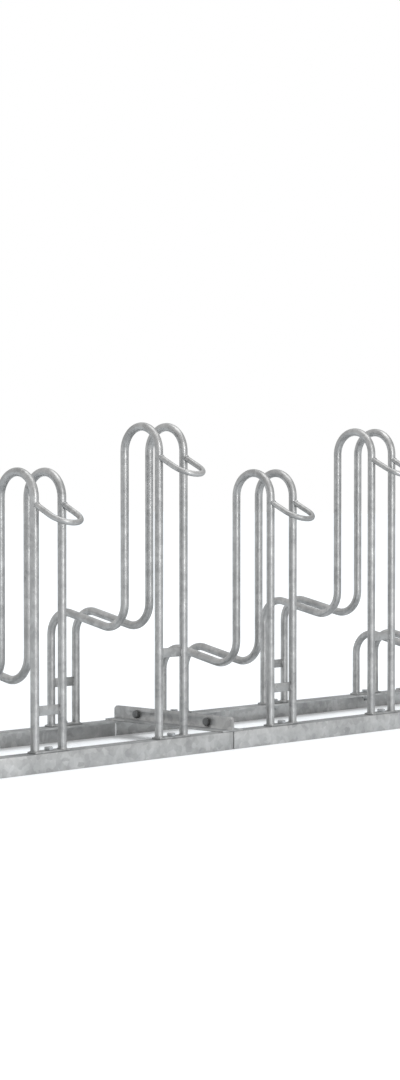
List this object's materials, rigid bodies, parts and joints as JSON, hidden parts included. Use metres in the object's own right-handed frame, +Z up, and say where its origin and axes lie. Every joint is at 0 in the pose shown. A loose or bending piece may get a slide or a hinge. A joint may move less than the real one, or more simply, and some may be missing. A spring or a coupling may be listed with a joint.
{
  "type": "floor bike rack",
  "caption": "Single-sided floor rack for bicycles: low and tall hoop holders in turn on two angle rails, each with a lock loop at the front",
  "frame": {"origin": "on the floor below the middle of the bounding box; the middle holder stands at X = 0", "axes": "+X along the row, +Y from the lock loops at the front towards the side where the bicycles come in, +Z up"},
  "size_m": [1.75, 0.4447, 0.712],
  "materials": {
    "galvanised_steel": "hot-dip galvanised, dull spangle",
    "zinc_plated_fasteners": "bright zinc plated"
  },
  "bodies": {
    "root": {"hoop_1_left": "galvanised_steel", "hoop_1_right": "galvanised_steel", "lock_loop_1": "galvanised_steel", "front_strap_1": "galvanised_steel", "front_foot_1": "galvanised_steel", "back_foot_1": "galvanised_steel", "hoop_2_left": "galvanised_steel", "hoop_2_right": "galvanised_steel", "lock_loop_2": "galvanised_steel", "front_strap_2": "galvanised_steel", "back_strap_2": "galvanised_steel", "front_foot_2": "galvanised_steel", "back_foot_2": "galvanised_steel", "hoop_3_left": "galvanised_steel", "hoop_3_right": "galvanised_steel", "lock_loop_3": "galvanised_steel", "front_strap_3": "galvanised_steel", "front_foot_3": "galvanised_steel", "back_foot_3": "galvanised_steel", "hoop_4_left": "galvanised_steel", "hoop_4_right": "galvanised_steel", "lock_loop_4": "galvanised_steel", "front_strap_4": "galvanised_steel", "back_strap_4": "galvanised_steel", "front_foot_4": "galvanised_steel", "back_foot_4": "galvanised_steel", "hoop_5_left": "galvanised_steel", "hoop_5_right": "galvanised_steel", "lock_loop_5": "galvanised_steel", "front_strap_5": "galvanised_steel", "front_foot_5": "galvanised_steel", "back_foot_5": "galvanised_steel", "front_rail_left": "galvanised_steel", "front_rail_right": "galvanised_steel", "back_rail_left": "galvanised_steel", "back_rail_right": "galvanised_steel", "end_angle_left": "galvanised_steel", "joint_angle_left": "galvanised_steel", "joint_angle_right": "galvanised_steel", "end_angle_right": "galvanised_steel", "foot_bolts": "zinc_plated_fasteners", "foot_nuts": "zinc_plated_fasteners", "joint_bolts": "zinc_plated_fasteners", "joint_nuts": "zinc_plated_fasteners"}
  },
  "joints": []
}
